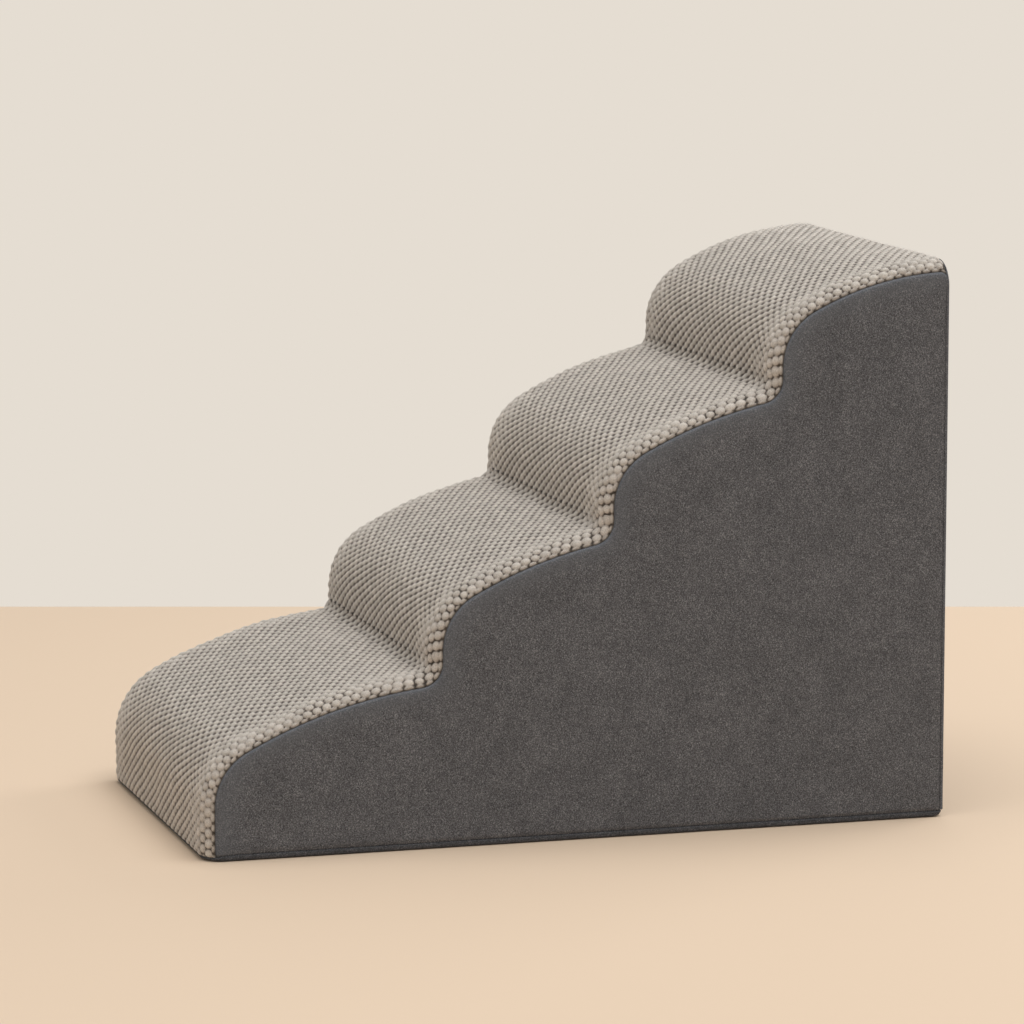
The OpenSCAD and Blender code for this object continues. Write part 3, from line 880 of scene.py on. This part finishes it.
def addBackPanel(name, node, rows, foldAt, corner):
    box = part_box(node)
    low, high = box[0].z, box[1].z
    z = closeSpaced(low, high, rows)[:, None]
    rise = np.maximum(z - (high - corner), 0)
    half = halfWidth - corner + np.sqrt(np.maximum(corner ** 2 - rise ** 2, 0))
    across = closeSpaced(-1, 1, backPanel["columns"])[None]
    y = across * half
    overY = np.maximum(np.abs(y) - (halfWidth - corner), 0)
    toCorner = corner - np.hypot(overY, rise)
    toFold = np.abs(z - foldAt)
    foldEdge = toFold + backPanel["foldEase"] * (1 - awayFromSides(y))
    toEdge = np.minimum(halfWidth - np.abs(y), np.minimum(high - low - toFold, foldEdge))
    toEdge = np.maximum(np.where((overY > 0) & (rise > 0), toCorner, toEdge), 0)
    hemEnd = smoothStep((toFold - backPanel["hemWidth"]) / backPanel["hemFall"])
    hem = backPanel["hemLift"] * (1 - hemEnd) * awayFromSides(y)
    swell = backPanel["puff"] * (1 - np.exp(-toEdge / backPanel["puffReach"]))
    creases = backPanel["creases"] * np.sin(y * 31 + z * 9) * np.sin(z * 27 - y * 6)
    creases = creases * (1 - np.exp(-toEdge / backPanel["creaseReach"]))
    x = box[1].x - turnedEdge(toEdge, backPanel["foldRadius"]) + swell + creases + hem
    outer, inner = stacked(x, y, z), stacked(box[0].x, y, z)
    # painted sheen along the back's side edges
    band = np.exp(-((halfWidth - np.abs(y)) / backPanel["band"]) ** 2)
    piece = clothPiece(name, outer, inner, across[0], across[0], suedeCloth,
        {"edgeSheenBand": band})
    weld(piece, node)


zipTab = {
    "sunk": 0.0009,         # leaves room for the pull tab to pass over the stitches
    "overlap": 0.006,       # how far a tab lies over the tapes' ends
    "foldRadius": 0.0015,
    "rows": 24,
    "columns": 30,
    "stitches": 8,
    "stitchLength": 0.0036,
    "stitchSlant": 0.25,
    "stitchGap": 0.0026,
    "stitchFrom": 0.0025,
    "stitchPitch": 0.00157,
}


def addEndTab(name, side):
    low, high = tabsBox[0].z, tabsBox[1].z
    inward = tapeReach - zipTab["overlap"]
    z = closeSpaced(low, high, zipTab["rows"])[:, None]
    y = side * closeSpaced(inward, halfWidth, zipTab["columns"])[None]
    foldEdge = np.minimum(high - z, z - low) + backPanel["foldEase"] * (1 - awayFromSides(y))
    toEdge = np.minimum(foldEdge, np.minimum(np.abs(y) - inward, halfWidth - np.abs(y)))
    folded = turnedEdge(toEdge, zipTab["foldRadius"])
    x = backX - zipTab["sunk"] * awayFromSides(y) - folded
    outer, inner = stacked(x, y, z), stacked(panelX, y, z)
    piece = clothPiece(name, outer, inner, y[0], y[0], suedeCloth)
    weld(piece, "zip_end_tabs")


addBackPanel("suede_upper_back", "upper_back_panel", backPanel["upperRows"], upperBackBox[0].z,
    edgeRadius)
addBackPanel("suede_lower_back", "lower_back_panel", backPanel["lowerRows"], lowerBackBox[1].z, 0)
addEndTab("zip_left_tab", 1)
addEndTab("zip_right_tab", -1)
print("back laid")


# Zip tapes
zipTape = {
    "bend": 0.03147,        # the radius that the rows part on, inside the slider
    "tail": 0.158,          # where they start to part
    "mouth": 0.172,
    "bead": 0.0009,
    "beadHeight": 0.0001,
    "sunk": 0.00012,
    "ribDepth": 0.00005,
    "ribPitch": 0.0028,
    "ribsFrom": 0.002,
    "edgeRadius": 0.0003,
    "stepAlong": 0.0014,
    "rows": 22,
}


def tapeEdge(along):
    into = np.clip(along, zipTape["tail"], zipTape["mouth"]) - zipTape["tail"]
    return zipTape["bend"] - np.sqrt(zipTape["bend"] ** 2 - into ** 2)


def addTape(name, node, side):
    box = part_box(node)
    zipZ = (upperTape[0].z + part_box("lower_zip_tape")[1].z) / 2
    near, far = upperTape[0].z - zipZ, upperTape[1].z - zipZ
    along = np.linspace(box[0].y, box[1].y, int((box[1].y - box[0].y) / zipTape["stepAlong"]))
    share = closeSpaced(0, 1, zipTape["rows"])[:, None]
    inner = near + tapeEdge(along)[None]
    height = inner + (far - inner) * share
    toBead = height - inner
    bead = np.clip(1 - ((toBead - zipTape["bead"]) / zipTape["bead"]) ** 2, 0, 1) ** 0.5
    ribs = zipTape["ribDepth"] * np.sin(along[None] * 2 * math.pi / zipTape["ribPitch"])
    ribs = ribs * (toBead > zipTape["ribsFrom"])
    edge = turnedEdge(np.minimum(toBead, far - height), zipTape["edgeRadius"])
    front = box[1].x - zipTape["sunk"] + zipTape["beadHeight"] * bead + ribs - edge
    y, z = along[None], zipZ + side * height
    outer, lining = stacked(front, y, z), stacked(box[0].x, y, z)
    if side < 0:
        outer, lining = outer[::-1], lining[::-1]
    piece = clothPiece(name, outer, lining, along, along, tapeCloth)
    weld(piece, node)


addTape("woven_upper_tape", "upper_zip_tape", 1)
addTape("woven_lower_tape", "lower_zip_tape", -1)
print("tapes laid")


# Stitches along the hems and on the zip's end tabs
stitch = {
    "length": 0.0031,
    "pitch": 0.0043,
    "radius": 0.00045,
    "proud": 0.00035,       # how far a stitch's middle stands out of the cloth
    "fromFold": 0.0062,
    "fromSides": 0.012,
    "slant": 0.04,
    "rings": 7,
    "sides": 8,
}


def addStitches(name, places, length):
    # one bowed thread for each place: its middle, and the way it runs
    points, faces = [], []
    rings, sides = stitch["rings"], stitch["sides"]
    for middle, along in places:
        along = np.array(along, float) / np.linalg.norm(along)
        out = np.array([1.0, 0, 0])
        across = np.cross(along, out)
        faces += ringFaces(rings, sides, len(points))
        for ring in range(rings):
            share = ring / (rings - 1)
            bow = 4 * share * (1 - share)
            thick = stitch["radius"] * (0.35 + 0.65 * bow ** 0.5)
            raised = stitch["radius"] * (1.5 * bow - 0.9)
            centre = np.array(middle) + along * length * (share - 0.5) + out * raised
            for outwards, sideways in circle(sides):
                points.append((centre + thick * (outwards * out + sideways * across)).tolist())
    finishPiece(name, newMesh(name, points, faces), stitchThread)


def hemStitches(box, foldEnd, inwards):
    z = box[foldEnd].z + inwards * stitch["fromFold"]
    face = box[1].x + backPanel["hemLift"] + stitch["proud"]
    pitch = stitch["pitch"]
    count = int((2 * halfWidth - 2 * stitch["fromSides"]) / pitch)
    return [((face, (i - (count - 1) / 2) * pitch, z), (0, 1, stitch["slant"])) for i in range(count)]


def tabStitches(side):
    y = side * (tapeReach - zipTab["stitchGap"])
    x = backX - zipTab["sunk"] - 0.0001
    places = []
    for i in range(zipTab["stitches"]):
        z = tabsBox[0].z + zipTab["stitchFrom"] + i * zipTab["stitchPitch"]
        places.append(((x, y, z), (0, 1, zipTab["stitchSlant"] * (-1) ** i)))
    return places


addStitches("upper_hem_stitches", hemStitches(upperBackBox, 0, 1), stitch["length"])
addStitches("lower_hem_stitches", hemStitches(lowerBackBox, 1, -1), stitch["length"])
addStitches("left_tab_stitches", tabStitches(1), zipTab["stitchLength"])
addStitches("right_tab_stitches", tabStitches(-1), zipTab["stitchLength"])
print("stitches sewn")


# Non-slip base: a shallow tray of cloth with grip dots
base = {
    "cloth": 0.0025,
    "lip": 0.006,
    "toeLip": 0.0016,       # how far the lip stands up round the toe
    "lipRise": 0.006,
    "dish": 0.0006,         # how far the cloth stands off the floor on its dots
    "toeRadius": 0.02,
    "heelRadius": 0.005,
    "pointPitch": 0.012,
    "dotPitch": 0.0125,
    "dotRadius": 0.0024,
    "dotSides": 10,
    "bare": 0.015,          # no dots this near to the edge
    "dotCorner": 0.013,     # nor further out than this round the toe's corners
    "seam": 0.006,          # how much cloth is turned up on each side
    # from the underside round the lip: inset, height and the lip's share of the height
    "rings": [(0.0060, 0.0006, 0), (0.0022, 0.0006, 0), (0.0010, 0.0009, 0), (0.0002, 0.0017, 0),
        (0, 0.0022, 0), (0, -0.0012, 1), (0.0004, -0.0004, 1), (0.0013, 0, 1), (0.0022, -0.0003, 1),
        (0.0028, -0.0010, 1), (0.0031, 0.0027, 0), (0.0060, 0.0025, 0)],
    # a dot's rings, from the floor up: share of its radius, and height above the dished cloth
    "dotRings": [(0.45, -0.0006), (0.8, -0.00045), (1, -0.0001), (1, 0.0003)],
}


def baseLoop():
    # the base's outline as a closed loop of points
    points = []
    toe, heel = base["toeRadius"], base["heelRadius"]
    for centreX, radius, side, start in ((toeX + toe, toe, -1, math.pi),
            (baseBox[1].x - heel, heel, -1, 1.5 * math.pi), (baseBox[1].x - heel, heel, 1, 0),
            (toeX + toe, toe, 1, 0.5 * math.pi)):
        for turn in start + math.pi / 2 * np.arange(13) / 12:
            points.append((centreX + radius * math.cos(turn),
                side * (halfWidth - radius) + radius * math.sin(turn)))
    corners = np.array(points)
    loop = []
    for a, b in zip(corners, np.roll(corners, -1, axis=0)):
        count = max(1, int(np.linalg.norm(b - a) / base["pointPitch"]))
        loop += [a + (b - a) * i / count for i in range(count)]
    return np.array(loop)


def addBase():
    outline = baseLoop()
    low = base["cloth"] + base["toeLip"]
    rise = smoothStep((outline[:, 0] - toeX - base["toeRadius"] * 0.7) / base["lipRise"])
    lipHigh = low + (base["lip"] - low) * rise
    sides = np.roll(outline, -1, axis=0) - np.roll(outline, 1, axis=0)
    normal = np.stack([-sides[:, 1], sides[:, 0]], -1) / np.linalg.norm(sides, axis=1)[:, None]
    points = []
    for inset, height, lipShare in base["rings"]:
        points.append(np.column_stack([outline + normal * inset, floorZ + height + lipShare * lipHigh]))
    points = softenEnds(np.concatenate(points))
    mesh = newMesh("base_cloth", points.tolist(), ringFaces(len(base["rings"]), len(outline)))
    # the darkened suede copy: painted shade along the floor
    piece = finishPiece("base_cloth", mesh, shadedHemCloth)
    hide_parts("base_panel")


def addGripDots():
    points, faces = [], []
    pitch, sides = base["dotPitch"], base["dotSides"]
    columns = int((baseBox[1].x - toeX - 2 * base["bare"]) / pitch)
    rows = int((2 * halfWidth - 2 * base["bare"]) / pitch)
    for column in range(columns + 1):
        for row in range(rows + 1 - column % 2):
            x = (toeX + backX) / 2 + (column - columns / 2) * pitch
            y = (row - (rows - column % 2) / 2) * pitch
            corner = (max(toeX + base["toeRadius"] - x, 0), max(abs(y) - halfWidth + base["toeRadius"], 0))
            if math.hypot(*corner) > base["dotCorner"]:
                continue
            faces += ringFaces(len(base["dotRings"]), sides, len(points))
            for share, height in base["dotRings"]:
                radius, z = base["dotRadius"] * share, floorZ + base["dish"] + height
                points += [(x + radius * ahead, y + radius * over, z) for ahead, over in circle(sides)]
    piece = finishPiece("grip_dots", newMesh("grip_dots", points, faces), gripRubber)
    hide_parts("base_panel")


addBase()
addGripDots()
print("base laid")


# The zip's hard pieces keep their own meshes
def dress(finish, *names):
    for name in names:
        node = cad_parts[name]
        node.data.materials.clear()
        node.data.materials.append(finish)


dress(toothPlastic, "upper_zip_teeth", "lower_zip_teeth", "zip_top_stops", "zip_bottom_stop")
dress(sliderMetal, "zip_slider", "zip_pull_tab")
print("zip finished")


# Floor, backdrop and light
stage = {
    "wallAway": 5.9,        # where the floor ends, ahead of the camera
    "behind": 3.0,
    "half": 7.0,
    "floor": (222, 200, 176),
    "backdrop": (229, 221, 210),
    "glow": (1.0, 0.975, 0.94, 1),
    "glowStrength": 0.42,
}

lamps = {
    "overhead_softbox": {"place": (0.5, -0.65, 4.5), "aim": (0.05, 0, 0.3), "size": (3.8, 4.2), "power": 158},
    "left_window": {"place": (-3.2, -1.6, 1.2), "aim": (-0.3, -0.1, 0.1), "size": (1.8, 1.2), "power": 10},
    "back_fill": {"place": (3.6, 1.3, 2.0), "aim": (0.2, 0, 0.25), "size": (2.4, 2.0), "power": 46},
}


def addStage():
    ahead = np.array([math.sin(cameraSetup["turn"]), math.cos(cameraSetup["turn"])])
    right = np.array([ahead[1], -ahead[0]])
    stand = np.array(cameraSetup["place"][:2])
    behind, half, far = stage["behind"], stage["half"], stage["wallAway"]
    corners = [stand + ahead * away + right * over
        for away, over in ((-behind, -half), (-behind, half), (far, half), (far, -half))]
    mesh = newMesh("studio_floor", [(x, y, floorZ) for x, y in corners], [(0, 1, 2, 3)])
    mesh.materials.append(startFinish("studio_floor", 0.75, 0.2, Base_Color=colour(*stage["floor"]))[0])
    addObject("studio_floor", mesh)


def addWorld():
    world = bpy.data.worlds.new("studio")
    world.use_nodes = True
    bpy.context.scene.world = world
    world.node_tree.nodes.clear()
    rays = addNode(world, "LightPath").outputs
    seen = rays["Is Camera Ray"]
    for kind in ("Is Glossy Ray", "Is Transmission Ray"):
        seen = maths(world, "MAXIMUM", seen, rays[kind])
    glow = addNode(world, "Background", {"Color": stage["glow"], "Strength": stage["glowStrength"]})
    backdrop = addNode(world, "Background", {"Color": colour(*stage["backdrop"])})
    pick = addNode(world, "MixShader", {0: seen, 1: glow.outputs[0], 2: backdrop.outputs[0]})
    addNode(world, "OutputWorld", {"Surface": pick.outputs[0]})


def addLamp(name, place, aim, size, power):
    data = bpy.data.lights.new(name, "AREA")
    data.shape = "RECTANGLE"
    data.size, data.size_y = size
    data.energy = power
    lamp = addObject(name, data)
    lamp.location = place
    away = np.array(place) - np.array(aim)
    tilt = math.acos(away[2] / np.linalg.norm(away))
    lamp.rotation_euler = (tilt, 0, math.atan2(away[1], away[0]) + math.pi / 2)


addStage()
addWorld()
for name, lamp in lamps.items():
    addLamp(name, **lamp)
bpy.context.scene.view_settings.view_transform = "Standard"
print("stage lit")
